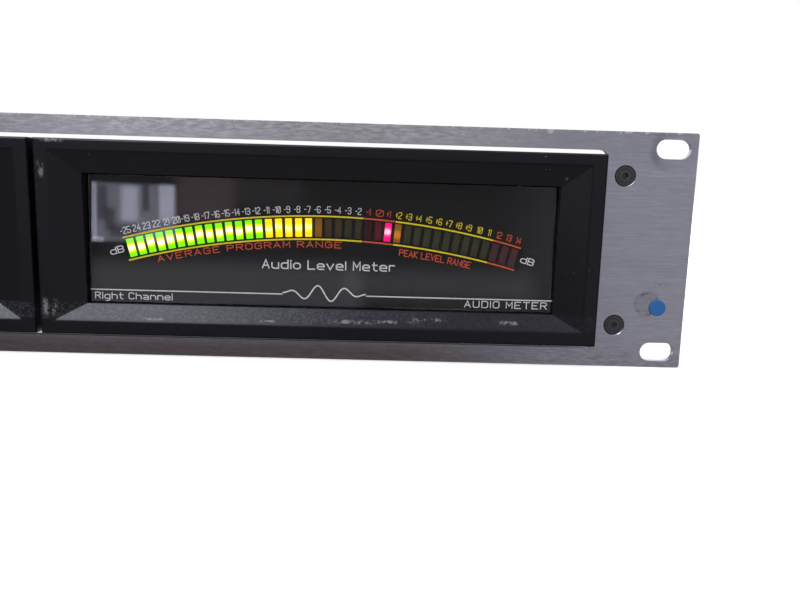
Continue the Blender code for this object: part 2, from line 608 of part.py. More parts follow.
def main():
    clear_scene()
    mats = {
        "panel": material("brushed_panel", (0.30, 0.30, 0.32), 0.38, 1.0),
        "bezel": material("black_moulding", (0.012, 0.012, 0.014), 0.35),
        "window": material("smoked_window", (0.02, 0.018, 0.018), 0.08),
        "mask": material("dial_mask", (0.010, 0.009, 0.009), 0.5),
        "bars": material("light_bars", (0.10, 0.55, 0.02), 0.4),
        "board": material("circuit_board", (0.02, 0.10, 0.04), 0.45),
        "case": material("black_case", (0.02, 0.02, 0.02), 0.5),
        "steel": material("zinc_steel", (0.55, 0.55, 0.53), 0.4, 1.0),
        "screw": material("black_screw", (0.015, 0.015, 0.015), 0.4, 0.6),
        "plastic": material("black_plastic", (0.02, 0.02, 0.02), 0.45),
        "socket": material("socket_shell", (0.05, 0.05, 0.05), 0.4, 0.5),
        "slider": material("pale_slider", (0.55, 0.54, 0.50), 0.5),
        "blue": material("trimmer_blue", (0.03, 0.10, 0.35), 0.45),
        "glass": material("fuse_glass", (0.70, 0.75, 0.75), 0.1),
        "copper": material("coil_tape", (0.60, 0.45, 0.10), 0.5),
        "sleeve": material("capacitor_sleeve", (0.03, 0.05, 0.12), 0.4),
        "aluminium": material("sink_aluminium", (0.50, 0.50, 0.52), 0.4, 1.0),
        "dot": material("marker_sticker", (0.02, 0.14, 0.50), 0.5),
    }
    front = frame_at("panel_frame", 0.0, FRONT_Y, MIDDLE_Z)
    build_rack_panel(mats, front)
    build_panel_screws(mats, front)
    build_brackets(mats, front)
    build_link_plate(mats, front)
    build_marker_dot(mats, front)
    for tag, side in (("left", -1), ("right", 1)):
        build_meter(tag, side, mats, front)
    bpy.context.view_layer.update()


main()
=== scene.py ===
import json
import math

import bmesh
import bpy
from mathutils import Matrix, Vector

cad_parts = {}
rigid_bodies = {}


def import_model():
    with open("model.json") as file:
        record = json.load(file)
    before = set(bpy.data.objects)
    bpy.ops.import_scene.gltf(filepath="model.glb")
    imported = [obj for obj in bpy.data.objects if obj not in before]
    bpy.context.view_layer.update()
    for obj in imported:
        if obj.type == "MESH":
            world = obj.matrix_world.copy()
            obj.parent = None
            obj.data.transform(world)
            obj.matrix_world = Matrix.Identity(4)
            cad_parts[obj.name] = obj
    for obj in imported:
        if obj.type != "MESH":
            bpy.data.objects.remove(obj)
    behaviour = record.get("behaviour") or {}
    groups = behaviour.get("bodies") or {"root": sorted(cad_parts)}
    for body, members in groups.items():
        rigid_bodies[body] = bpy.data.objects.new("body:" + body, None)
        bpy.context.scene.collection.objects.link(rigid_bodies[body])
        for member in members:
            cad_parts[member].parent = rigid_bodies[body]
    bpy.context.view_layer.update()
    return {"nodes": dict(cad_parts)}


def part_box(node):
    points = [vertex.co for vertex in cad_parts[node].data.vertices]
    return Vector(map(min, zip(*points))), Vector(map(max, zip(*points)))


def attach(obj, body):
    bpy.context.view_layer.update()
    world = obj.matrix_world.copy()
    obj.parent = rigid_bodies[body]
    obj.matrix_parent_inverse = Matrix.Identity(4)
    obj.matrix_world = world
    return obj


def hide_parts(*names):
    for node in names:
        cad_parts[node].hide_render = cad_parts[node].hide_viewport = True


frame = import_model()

mm = 0.001
sides = ("left", "right")


# an output of a node, so that shader maths reads as plain expressions
class Signal:
    def __init__(self, tree, socket=None):
        self.tree = tree
        self.socket = socket

    def node(self, kind, settings=None, inputs=None, out=0):
        made = self.tree.nodes.new(kind)
        for key, value in (settings or {}).items():
            if key == "stops":
                ramp = made.color_ramp
                while len(ramp.elements) < len(value):
                    ramp.elements.new(0.5)
                for element, (place, colour) in zip(ramp.elements, value):
                    element.position = place
                    element.color = (*colour, 1.0) if len(colour) == 3 else colour
            else:
                setattr(made, key, value)
        for key, value in (inputs or {}).items():
            if isinstance(value, Signal):
                self.tree.links.new(value.socket, made.inputs[key])
            else:
                made.inputs[key].default_value = value
        return Signal(self.tree, made.outputs[out])

    def math(self, operation, first, second=0.0):
        return self.node("ShaderNodeMath", {"operation": operation}, {0: first, 1: second})

    def __add__(self, other): return self.math("ADD", self, other)
    def __radd__(self, other): return self.math("ADD", other, self)
    def __sub__(self, other): return self.math("SUBTRACT", self, other)
    def __rsub__(self, other): return self.math("SUBTRACT", other, self)
    def __mul__(self, other): return self.math("MULTIPLY", self, other)
    def __rmul__(self, other): return self.math("MULTIPLY", other, self)
    def __truediv__(self, other): return self.math("DIVIDE", self, other)
    def __rtruediv__(self, other): return self.math("DIVIDE", other, self)

    # 0 under low, 1 over high, a smooth step between
    def above(self, low, high):
        return self.node("ShaderNodeMapRange", {"interpolation_type": "SMOOTHSTEP"},
                         {"Value": self, "From Min": low, "From Max": high, "To Min": 0.0, "To Max": 1.0})

    # 1 at middle, falling away on both sides
    def bell(self, middle, spread):
        away = (self - middle) / spread
        return self.math("EXPONENT", away * away * -1.0)

    # 1 within half of middle, 0 outside, softened at the ends
    def inside(self, middle, half, soft):
        away = self.math("ABSOLUTE", self - middle)
        return 1.0 - away.above(half - soft, half + soft)

    def noise(self, scale, stretch=(1.0, 1.0, 1.0), detail=3.0, roughness=0.55):
        laid = self.node("ShaderNodeMapping", {}, {"Vector": self, "Scale": stretch})
        return self.node("ShaderNodeTexNoise", {},
                         {"Vector": laid, "Scale": scale, "Detail": detail, "Roughness": roughness})

    # the colour sockets share their names with others of the node, so they go by number
    def mix(self, first, second):
        a, b = ((*v, 1.0) if isinstance(v, tuple) and len(v) == 3 else v for v in (first, second))
        return self.node("ShaderNodeMix", {"data_type": "RGBA"}, {0: self, 6: a, 7: b}, out=2)

    def part(self, axis):
        return self.node("ShaderNodeSeparateXYZ", {}, {"Vector": self}, out=axis)

    def awayFrom(self, spot):
        return self.node("ShaderNodeVectorMath", {"operation": "DISTANCE"}, {0: self, 1: spot}, out="Value")


def newMaterial(name, colour, roughness, metallic=0.0, **fixed):
    made = bpy.data.materials.new(name)
    made.use_nodes = True
    shader = made.node_tree.nodes["Principled BSDF"]
    shader.inputs["Base Color"].default_value = (*colour, 1.0)
    shader.inputs["Roughness"].default_value = roughness
    shader.inputs["Metallic"].default_value = metallic
    for key, value in fixed.items():
        shader.inputs[key.replace("_", " ")].default_value = value
    place = Signal(made.node_tree).node("ShaderNodeTexCoord", out="Object")
    return made, place, shader


def drive(shader, name, signal):
    signal.tree.links.new(signal.socket, shader.inputs[name])


def bump(shader, height, distance, strength=0.5):
    made = height.node("ShaderNodeBump", {}, {"Strength": strength, "Distance": distance, "Height": height})
    drive(shader, "Normal", made)


# the panel's front and middle height, which the rest is measured from
panelLow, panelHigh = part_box("rack_panel")
frontY = panelLow[1]
middleZ = (panelLow[2] + panelHigh[2]) / 2


def middleX(node):
    low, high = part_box(node)
    return (low[0] + high[0]) / 2


meterX = {side: middleX("bezel_" + side) for side in sides}

# millimetres from the middle of the panel's front, degrees, lens and sensor in millimetres, nearest in metres
view = {"place": (128.24, -282.41, 27.91), "turn": (80.27, -1.654, -0.770), "lens": 34.2,
        "sensor": 36.0, "nearest": 0.01}


def addCamera():
    bpy.ops.object.camera_add()
    camera = bpy.context.object
    x, y, z = (v * mm for v in view["place"])
    camera.location = (x, frontY + y, middleZ + z)
    camera.rotation_euler = [math.radians(v) for v in view["turn"]]
    camera.data.lens = view["lens"]
    camera.data.sensor_width = view["sensor"]
    camera.data.clip_start = view["nearest"]
    bpy.context.scene.camera = camera
    print("camera done")


# metres, but the floor's gap under the panel is in millimetres
stage = {"floorSize": 12.0, "floorGap": 0.2, "floorGlow": 0.45, "domeRadius": 6.0}


def hideFromBounces(stageObject):
    stageObject.visible_diffuse = False
    stageObject.visible_glossy = False
    stageObject.visible_transmission = False


def addStage():
    bpy.ops.mesh.primitive_plane_add(size=stage["floorSize"],
                                     location=(0, 0, panelLow[2] - stage["floorGap"] * mm))
    floor = bpy.context.object
    floor.name = "floor"
    paper, place, shader = newMaterial("pale_floor", (0.85, 0.85, 0.85), 0.9,
                                       Emission_Strength=stage["floorGlow"])
    shader.inputs["Emission Color"].default_value = (1, 1, 1, 1)
    drive(shader, "Base Color", place.noise(3.0).mix((0.84, 0.84, 0.84), (0.88, 0.88, 0.88)))
    floor.data.materials.append(paper)
    hideFromBounces(floor)
    bpy.ops.mesh.primitive_uv_sphere_add(segments=48, ring_count=24, radius=stage["domeRadius"])
    dome = bpy.context.object
    dome.name = "backdrop"
    glow, place, shader = newMaterial("backdrop_white", (0, 0, 0), 1.0, Emission_Strength=1.0)
    shader.inputs["Emission Color"].default_value = (1, 1, 1, 1)
    dome.data.materials.append(glow)
    hideFromBounces(dome)
    dome.visible_shadow = False
    print("stage done")


# patches of light round the room: bearing from the front, height, half width, half height, softness, brightness
patches = {
    "ceilingLamp": (-46, 57, 21, 16, 9.0, 7.0),
    "ceilingFade": (-22, 58, 10, 14, 8.0, 1.3),
    "ceilingRight": (37, 57, 6, 14, 2.5, 3.6),
    "shelfLeft": (-20, 10, 7, 4, 2.0, 1.3),
    "shelfMiddle": (-8, 10, 6, 4, 2.0, 0.1),
    "shelfRight": (5, 10, 4, 4, 2.0, 1.7),
    "tableGlow": (-14.0, -4.6, 12.0, 1.7, 0.9, 0.42),
    "tableRight": (4.0, -4.2, 7.0, 1.1, 1.0, 0.34),
    "tableNear": (-9, -42, 40, 14, 8.0, 0.25),
    "rightWall": (26, -4, 14, 16, 5.0, 0.33),
    "overhead": (0, 90, 400, 18, 9.0, 0.9),
    "behind": (180, 20, 60, 35, 20.0, 0.9),
}
directlyBehind = 180
# the bright opening across the room, and how far the dark shapes in it dim it
farWindow = {"glow": (-18.5, 0.55, 3.05, 2.0, 0.22, 1.70), "colour": (0.84, 0.88, 1.10), "shade": 0.65}
# bands of light in the opening
farBands = [
    (-21.1, 0.6, 0.32, 2.0, 0.15, 3.0),
    (-18.6, 1.2, 0.55, 1.2, 0.3, 2.7),
    (-16.1, 1.3, 0.50, 1.3, 0.2, 2.8),
    (-17.3, -0.6, 1.8, 0.7, 0.3, 0.3),
    (-21.0, -1.35, 0.7, 0.18, 0.1, 2.4),
]
# dark shapes that stand in the opening, with no brightness of their own
farShapes = [
    (-19.0, -0.75, 0.9, 0.45, 0.3),
    (-20.4, 1.2, 0.35, 1.2, 0.25),
    (-19.9, 0.1, 0.35, 0.8, 0.25),
    (-17.5, 1.7, 0.22, 1.0, 0.15),
]
# rose walls beside the opening
roseWalls = [(-13.4, 1.8, 2.0, 1.7, 0.6, 0.38), (-9.0, 2.4, 2.6, 0.9, 0.7, 0.12)]
roomBase = {"level": 0.17, "cool": (0.90, 0.93, 1.06), "warm": (0.98, 0.96, 1.04),
            "rose": (1.12, 0.86, 0.93)}


def patchOf(bearing, height, patch):
    across, up, wide, tall, soft, power = patch
    if across == directlyBehind:      # the bearing jumps to the other sign there
        bearing = bearing.math("ABSOLUTE", bearing)
    return bearing.inside(across, wide, soft) * height.inside(up, tall, soft) * power


def addRoomLight():
    world = bpy.data.worlds.new("room")
    bpy.context.scene.world = world
    world.use_nodes = True
    tree = world.node_tree
    way = Signal(tree).node("ShaderNodeTexCoord", out="Generated")
    x, y, z = way.part("X"), way.part("Y"), way.part("Z")
    bearing = x.math("ARCTAN2", x, y * -1.0) * (180 / math.pi)
    height = z.math("ARCSINE", z) * (180 / math.pi)
    half = roomBase["level"] * 0.5
    total = height.above(-60, 10) * half + half
    for patch in patches.values():
        total = total + patchOf(bearing, height, patch)
    opening = patchOf(bearing, height, farWindow["glow"])
    for patch in farBands:
        opening = opening + patchOf(bearing, height, patch)
    for shape in farShapes:
        opening = opening * (1.0 - patchOf(bearing, height, (*shape, farWindow["shade"])))
    rose = sum(patchOf(bearing, height, patch) for patch in roseWalls)
    total = total + opening + rose
    tint = height.above(-10, 30).mix(roomBase["warm"], roomBase["cool"])
    tint = rose.above(0.03, 0.25).mix(tint, roomBase["rose"])
    tint = opening.above(0.2, 0.8).mix(tint, farWindow["colour"])
    tree.links.new(tint.socket, tree.nodes["Background"].inputs["Color"])
    tree.links.new(total.socket, tree.nodes["Background"].inputs["Strength"])
    print("room light done")


# place and aim in metres, size in metres, power in watts
lamps = {
    "key": ((-0.7, -0.9, 1.3), (0.05, 0, 0.05), 0.9, 14),
    "rear": ((0.5, 1.2, 1.1), (0, 0, 0.05), 1.0, 14),
}


def addLamps():
    for name, (spot, aim, size, power) in lamps.items():
        bpy.ops.object.light_add(type="AREA", location=spot)
        lamp = bpy.context.object
        lamp.name = name
        lamp.data.energy = power
        lamp.data.size = size
        lamp.rotation_euler = (Vector(aim) - Vector(spot)).to_track_quat("-Z", "Y").to_euler()
        lamp.visible_glossy = False
    print("lamps done")


def deselectAll():
    for item in bpy.context.selected_objects:
        item.select_set(False)


# weld distance in metres, angles in degrees, steps of an eased edge
mending = {"weld": 0.00001, "flat": 1.0, "smooth": 35, "steps": 2}


def mend():
    bpy.ops.object.mode_set(mode="EDIT")
    bpy.ops.mesh.select_all(action="SELECT")
    bpy.ops.mesh.remove_doubles(threshold=mending["weld"])
    bpy.ops.mesh.dissolve_limited(angle_limit=math.radians(mending["flat"]))
    bpy.ops.object.mode_set(mode="OBJECT")


# a copy of a CAD node with its triangles merged and its edges eased by width, in millimetres
def refine(node, width, angle=40, newName=None, reshape=None):
    deselectAll()
    source = frame["nodes"][node]
    source.hide_set(False)
    source.select_set(True)
    bpy.context.view_layer.objects.active = source
    bpy.ops.object.duplicate()
    piece = bpy.context.object
    bpy.ops.object.parent_clear(type="CLEAR_KEEP_TRANSFORM")
    piece.name = newName or node + "_fine"
    piece.data.materials.clear()
    mend()
    if reshape:
        reshape(piece)
    if width:
        edge = piece.modifiers.new("edge", "BEVEL")
        edge.width = width * mm
        edge.segments = mending["steps"]
        edge.limit_method = "ANGLE"
        edge.angle_limit = math.radians(angle)
        bpy.ops.object.modifier_apply(modifier="edge")
    bpy.ops.object.shade_smooth_by_angle(angle=math.radians(mending["smooth"]))
    evenFaces(piece)
    return piece


# keeps the broad faces flat in their shading, so that only the eased edges catch the light
def evenFaces(piece):
    even = piece.modifiers.new("even", "WEIGHTED_NORMAL")
    even.keep_sharp = True
    even.weight = 100
    bpy.ops.object.modifier_apply(modifier="even")


# gives a piece its material and body, and hides the CAD nodes that it stands for
def settle(piece, material, body="root", replaces=()):
    piece.data.materials.clear()
    piece.data.materials.append(material)
    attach(piece, body)
    if replaces:
        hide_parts(*replaces)


# colour, roughness and edge of the brushed sheet; its marks, and a dent painted as a bright glint, lie in
# millimetres from the panel's middle
panelLook = {"metal": (0.615, 0.62, 0.685), "roughness": 0.34, "edge": 0.25,
             "slots": (232.3, 38.1), "glue": (227.0, -19.6), "specks": (229.5, -11.0), "dentGlint": (186.5, 43.6)}


def onPanel(across, up):
    return (across * mm, frontY, middleZ + up * mm)


def brushedMetal():
    colour, roughness = panelLook["metal"], panelLook["roughness"]
    made, place, shader = newMaterial("brushed_panel_metal", colour, roughness, 1.0)
    lines = place.noise(60.0, (0.9, 1.0, 60.0), 4.0, 0.7)
    broad = place.noise(14.0, (0.4, 1.0, 5.0), 3.0)
    cloud = place.noise(9.0, (1.0, 1.0, 1.0), 4.0, 0.6)
    dark = tuple(c * 0.84 for c in colour)
    pale = tuple(min(1.0, c * 1.14) for c in colour)
    shade = (lines * 0.8 + broad * 0.2).above(0.32, 0.70)
    tone = shade.mix(dark, pale)
    fine = place.noise(620.0, (0.30, 1.0, 2.2), 3.0, 0.7)
    tone = (fine.above(0.30, 0.70) * 0.35).mix(tone, tuple(c * 0.66 for c in colour))
    tone = wornPanel(place, tone, cloud)
    drive(shader, "Base Color", tone)
    drive(shader, "Roughness", lines * 0.16 + cloud * 0.10 + fine * 0.10 + (roughness - 0.18))
    bump(shader, lines * 0.5 + fine * 0.5, 0.00004, 0.45)
    return made


# wear and marks on the panel, and painted reflection on its strips above and below the meters
def wornPanel(place, tone, cloud):
    x, z = place.part("X"), place.part("Z")
    towardLeft = 1.0 - x.above(0.13, 0.20)
    upper = z.above(middleZ + 0.030, middleZ + 0.042)
    lower = 1.0 - z.above(middleZ - 0.042, middleZ - 0.030)
    # painted reflection: towards the left end the strip above the meters is painted lighter and the strip below
    # them darker
    tone = (upper * towardLeft * 0.75).mix(tone, (1.0, 0.95, 0.94))
    tone = (lower * towardLeft * 0.80).mix(tone, (0.24, 0.180, 0.165))
    grit = place.noise(760.0, (0.32, 1.0, 1.5), 4.0, 0.75).above(0.36, 0.62)
    tone = (grit * upper * (towardLeft * 0.34 + 0.28)).mix(tone, (0.40, 0.38, 0.40))
    tone = (grit * lower * 0.30).mix(tone, (0.10, 0.085, 0.085))
    slotX, slotZ = panelLook["slots"]
    for across in (-slotX, slotX):       # rubbed and darkened round the rack slots
        for up in (-slotZ, slotZ):
            away = place.awayFrom(onPanel(across, up))
            ring = (1.0 - away.above(0.0072, 0.0100)) * cloud.above(0.50, 0.62)
            tone = (ring * 0.75).mix(tone, (0.12, 0.10, 0.10))
    crust = place.noise(330.0, detail=4.0, roughness=0.7)
    away = place.awayFrom(onPanel(*panelLook["glue"])) + (crust - 0.5) * 0.004
    film = 1.0 - away.above(0.0044, 0.0052)
    rim = film * away.above(0.0032, 0.0044) * crust.above(0.42, 0.58)
    tone = (film * 0.16 + rim * 0.5).mix(tone, (0.11, 0.105, 0.10))
    specks = place.awayFrom(onPanel(*panelLook["specks"]))
    specks = (1.0 - specks.above(0.0025, 0.0060)) * crust.above(0.60, 0.66)
    tone = (specks * 0.45).mix(tone, (0.10, 0.095, 0.09))
    # a dent, painted as a bright glint
    dentGlint = place.awayFrom(onPanel(*panelLook["dentGlint"]))
    tone = ((1.0 - dentGlint.above(0.0006, 0.0016)) * 0.9).mix(tone, (0.95, 0.94, 0.90))
    nickGlints = place.noise(520.0, detail=2.0).above(0.60, 0.64) * z.above(0.0870, 0.0878)     # chips along the top edge, painted as bright glints
    return nickGlints.mix(tone, (0.95, 0.94, 0.90))


def buildPanel():
    settle(refine("rack_panel", panelLook["edge"]), brushedMetal(), replaces=["rack_panel"])
    print("panel done")


# pale rubs on the rims: meter side, across from its middle, up from the panel's middle, half width, half height
rubs = [
    ("right", -100.6, 24.4, 1.0, 2.2),
    ("right", -100.9, -25.6, 0.8, 2.6),
    ("right", -97.8, -25.9, 0.9, 2.4),
    ("right", -96.0, 34.7, 3.0, 0.5),
    ("right", 88.5, 26.4, 0.7, 0.5),
    ("left", 60.0, 33.9, 4.0, 0.6),
    ("left", -88.0, -30.0, 1.5, 1.2),
]
# fainter scuffs on the lower bevel, in the same terms
scratches = [
    ("right", 12.0, -28.6, 7.0, 0.55),
    ("right", 27.0, -28.3, 7.0, 0.45),
    ("right", -62.0, -29.3, 4.0, 0.40),
    ("right", 40.0, -27.2, 5.0, 0.5),
    ("right", 71.0, -27.6, 3.5, 0.6),
    ("right", -20.0, -29.0, 3.0, 0.3),
]
# band of dust on the lower bevel; dust and marks fade out between two distances before the panel's face
dust = {"up": -26.9, "half": 2.9, "soft": 0.4, "ends": (2.0, 1.0), "marksEnd": (3.2, 2.2)}


def smear(x, z, softness, side, across, up, wide, tall):
    return x.inside(meterX[side] + across * mm, wide * mm, wide * softness * mm) * \
        z.inside(middleZ + up * mm, tall * mm, tall * softness * mm)


# 1 in front of the panel, 0 behind, between two distances before its face
def before(y, far, near):
    return 1.0 - y.above(frontY - far * mm, frontY - near * mm)


def blackMoulding():
    made, place, shader = newMaterial("black_moulding", (0.007, 0.007, 0.009), 0.30, IOR=1.42)
    grain = place.noise(900.0, detail=2.0)
    smudge = place.noise(28.0, (1.0, 1.0, 2.0), 4.0)
    speckle = place.noise(1100.0, detail=3.0, roughness=0.7)
    blotch = place.noise(480.0, (1.0, 1.0, 0.6), 2.0)
    grains = place.noise(850.0, detail=1.0).above(0.74, 0.77) * place.noise(40.0).above(0.56, 0.66)
    x, y, z = place.part("X"), place.part("Y"), place.part("Z")
    tone = (smudge * 0.5).mix((0.0045, 0.0045, 0.0066), (0.0085, 0.0085, 0.0115))
    tone = (grains * 0.30).mix(tone, (0.30, 0.29, 0.28))
    ledge = z.inside(middleZ + dust["up"] * mm, dust["half"] * mm, dust["soft"] * mm)
    ledge = ledge * before(y, *dust["ends"])
    dusty = 0.14 - x.above(0.05, 0.17) * 0.10
    tone = (ledge * speckle.above(0.44, 0.60) * dusty).mix(tone, (0.27, 0.27, 0.28))
    marks = sum(smear(x, z, 0.7, *spot) for spot in rubs)
    marks = marks + sum(smear(x, z, 0.6, *spot) * 0.7 for spot in scratches)
    broken = (blotch * 0.6 + speckle * 0.4).above(0.44, 0.60)
    marks = marks * broken * before(y, *dust["marksEnd"])
    tone = (marks * 0.62).mix(tone, (0.42, 0.41, 0.41))
    drive(shader, "Base Color", tone)
    drive(shader, "Roughness", smudge * 0.14 + marks * 0.2 + speckle * 0.06 + 0.22)
    bump(shader, grain * 0.5 + blotch * 0.5, 0.00010, 0.6)
    return made


# millimetres; angle in degrees; the roll lies at rollDepth before the panel's face, near the frame's outside
bezelLook = {"edge": 0.28, "angle": 8, "rollDepth": 4.7, "rollOut": 1.1, "rollForward": 0.45, "reach": 8,
             "tolerance": 0.1}


# draws the rolled line between rim and bevel outward, so that the bevel runs almost up to the rim
def tightenRoll(piece):
    low, high = (Vector([pick(v.co[k] for v in piece.data.vertices) for k in range(3)]) for pick in (min, max))
    middle = (low + high) / 2
    for vertex in piece.data.vertices:
        if abs(vertex.co.y - frontY + bezelLook["rollDepth"] * mm) < bezelLook["tolerance"] * mm:
            for k in (0, 2):
                away = vertex.co[k] - middle[k]
                if abs(away) > (high[k] - low[k]) / 2 - bezelLook["reach"] * mm:
                    vertex.co[k] += math.copysign(bezelLook["rollOut"] * mm, away)
            vertex.co.y -= bezelLook["rollForward"] * mm


def buildBezels():
    plastic = blackMoulding()
    for side in sides:
        piece = refine("bezel_" + side, bezelLook["edge"], angle=bezelLook["angle"], reshape=tightenRoll)
        settle(piece, plastic, replaces=["bezel_" + side])
    print("bezels done")


# millimetres; the lean is 1.8 over the window's height; barGap lies between the window and the segments
display = {"lean": math.atan2(1.8, 47.8), "windowThick": 2.0, "arcRadius": 279.9, "arcTop": 5.65,
           "pitch": 3.725, "count": 40, "barWidth": 2.45, "barHeight": 6.9, "barDeep": 1.2, "barEdge": 0.12,
           "barGap": 0.35, "carrierGap": 1.6}


# lays the plane of the window's front face: x across, y up the slope, z out of it
def displayPlace(side):
    low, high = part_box("window_" + side)
    lean = display["lean"]
    thick = display["windowThick"] * mm
    tall = (high[2] - low[2] - thick * math.sin(lean)) / math.cos(lean)
    up = Vector((0, math.sin(lean), math.cos(lean)))
    out = Vector((0, -math.cos(lean), math.sin(lean)))
    centre = Vector((meterX[side], low[1] + tall / 2 * math.sin(lean), high[2] - tall / 2 * math.cos(lean)))
    centre += up * ((middleZ - centre.z) / math.cos(lean))
    turned = Matrix((Vector((1, 0, 0)), up, out)).transposed().to_4x4()
    return Matrix.Translation(centre) @ turned


# strokes on a grid: x 0 to 4, baseline 2, capitals up to 8, small letters up to 6
glyphs = {
    "0": "12 03 07 18 38 47 43 32 12|13 37", "1": "07 18 12", "2": "07 18 38 47 46 03 02 42",
    "3": "07 18 38 47 46 35 15|35 44 43 32 12 03", "4": "32 38 04 44", "5": "48 08 05 35 44 43 32 12 03",
    "6": "47 38 18 07 03 12 32 43 44 35 15 04", "7": "08 48 47 22",
    "8": "15 06 07 18 38 47 46 35 15 04 03 12 32 43 44 35", "9": "03 12 32 43 47 38 18 07 06 15 35 46",
    "+": "13 17|05 25", "-": "15 35", "A": "02 28 42|14 34", "B": "02 08 38 47 46 35 05|35 44 43 32 02",
    "C": "47 38 18 07 03 12 32 43", "D": "02 08 38 47 43 32 02", "E": "48 08 02 42|05 35",
    "G": "47 38 18 07 03 12 32 43 45 25", "I": "22 28", "K": "02 08|48 05 42", "L": "08 02 42",
    "M": "02 08 24 48 42", "N": "02 08 42 48", "O": "12 03 07 18 38 47 43 32 12", "P": "02 08 38 47 46 35 05",
    "R": "02 08 38 47 46 35 05|25 42", "T": "08 48|28 22", "U": "08 03 12 32 43 48", "V": "08 22 48",
    "a": "06 36 45 42 12 03 14 44", "d": "48 42 12 03 05 16 46", "e": "04 44 45 36 16 05 03 12 42",
    "f": "38 28 17 12|05 35", "g": "46 41 30 10|42 12 03 05 16 46", "h": "08 02|06 36 45 42",
    "i": "12 16|17 18", "l": "18 12", "n": "02 06 36 45 42", "o": "12 03 05 16 36 45 43 32 12", "r": "02 06 36",
    "t": "18 13 22 32|06 36", "u": "06 03 12 42 46", "v": "06 22 46",
}
capitalUnits, wordSpace = 6, 3.0


# the two sides of a band of even width along the points, its ends a little longer
def ribbon(points, width):
    left, right = [], []
    count = len(points)
    for i, point in enumerate(points):
        before = (point - points[i - 1]).normalized() if i else None
        after = (points[i + 1] - point).normalized() if i < count - 1 else None
        along = (before or after) + (after or before)
        along.normalize()
        across = Vector((-along.y, along.x))
        lead = before or after
        spread = width / 2 / max(0.5, abs(across.dot(Vector((-lead.y, lead.x)))))
        reach = Vector((0, 0))
        if not before or not after:
            reach = along * (width * 0.35) * (-1 if not before else 1)
        left.append(point + across * spread + reach)
        right.append(point - across * spread + reach)
    return left, right


class Print:
    def __init__(self):
        self.mesh = bmesh.new()

    def stroke(self, points, width, ink):
        left, right = ribbon([Vector(p) for p in points], width)
        rows = [[self.mesh.verts.new((side.x, side.y, 0)) for side in pair] for pair in zip(left, right)]
        for (a, b), (c, d) in zip(rows, rows[1:]):
            face = self.mesh.faces.new((a, b, d, c))
            face.material_index = ink

    # place(x, y) lays a point of the straight word onto the plate; a span stretches the word to that width
    def word(self, text, height, weight, ink, place, squeeze=1.0, span=None, gap=1.5):
        unit = height / capitalUnits
        advance, marks = 0.0, []
        for letter in text:
            if letter == " ":
                advance += wordSpace
                continue
            strokes = [[(int(pair[0]), int(pair[1])) for pair in part.split()]
                       for part in glyphs[letter].split("|")]
            low = min(x for stroke in strokes for x, _ in stroke)
            high = max(x for stroke in strokes for x, _ in stroke)
            marks += [[(x - low + advance, y - 2) for x, y in stroke] for stroke in strokes]
            advance += high - low + gap
        width = (advance - gap) * unit
        if span:
            squeeze = (span - weight) / width
        for stroke in marks:
            self.stroke([place((x * unit - width / 2) * squeeze, y * unit) for x, y in stroke], weight, ink)


# the scale is centred on this point of the plate
scaleCentre = (0.25, -272.6)


def onArc(radius, angle):
    cx, cy = scaleCentre

    def place(x, y):
        turn = angle + x / radius
        return (cx + (radius + y) * math.sin(turn), cy + (radius + y) * math.cos(turn))
    return place


def onLine(x0, y0):
    return lambda x, y: (x0 + x, y0 + y)


white, yellow, red = 0, 1, 2
# radii and sizes in millimetres, and the value of the first segment
scale = {"first": -25, "step": math.radians(0.7624), "upperLine": 282.6, "lowerLine": 274.0, "lineWidth": 0.58,
         "lineStep": 0.012, "numbers": 283.9, "numberHeight": 2.3, "numberWeight": 0.27, "numberGap": 1.3,
         "signShift": 0.0016, "narrow": 0.76, "wideZero": 1.7, "lift": 0.06, "film": 0.03}
# the scale's two lines change colour at these values
scaleLines = [(-25.55, -1.62, yellow), (-1.45, 1.48, red), (1.68, 11.5, yellow), (11.62, 14.4, red)]
# words on the arc: height, weight, ink, radius, angle, width, gap between letters
arcWords = [
    ("dB", 2.3, 0.36, white, 277.6, -0.2792, 5.3, 1.3),
    ("dB", 2.3, 0.36, white, 277.6, 0.2790, 5.3, 1.3),
    ("AVERAGE PROGRAM RANGE", 2.1, 0.32, red, 271.0, -0.1022, 69.0, 1.9),
    ("PEAK LEVEL RANGE", 2.25, 0.32, red, 270.3, 0.1554, 27.3, 1.5),
]
# words on straight lines: height, weight, place across and up, width, gap
lineWords = [
    ("Audio Level Meter", 3.1, 0.46, 2.3, -9.85, 49.9, 1.7),
    ("{side} Channel", 2.3, 0.34, -70.6, -22.95, 29.0, 1.7),
    ("AUDIO METER", 2.4, 0.34, 69.6, -22.75, 31.5, 1.9),
]
# the white rule at the foot of the window, with a plain wave in the middle
rule = {"up": -19.56, "left": (-86.6, -15.0), "right": (16.8, 86.9), "weight": 0.44,
        "waveStart": -14.6, "waveLong": 31.0, "waveUp": 0.6, "swing": 3.0, "waves": 3, "steps": 60,
        "waveWeight": 0.50}


def inkOf(value):
    if value >= 12 or -1 <= value <= 1:
        return red
    return yellow if value >= 2 else white


def numberText(value):
    if value >= 10 or value == 0 or -24 <= value <= -20:
        return str(abs(value))
    return ("+" if value > 0 else "-") + str(abs(value))


def angleOf(value):
    return (value - scale["first"] - (display["count"] - 1) / 2) * scale["step"]


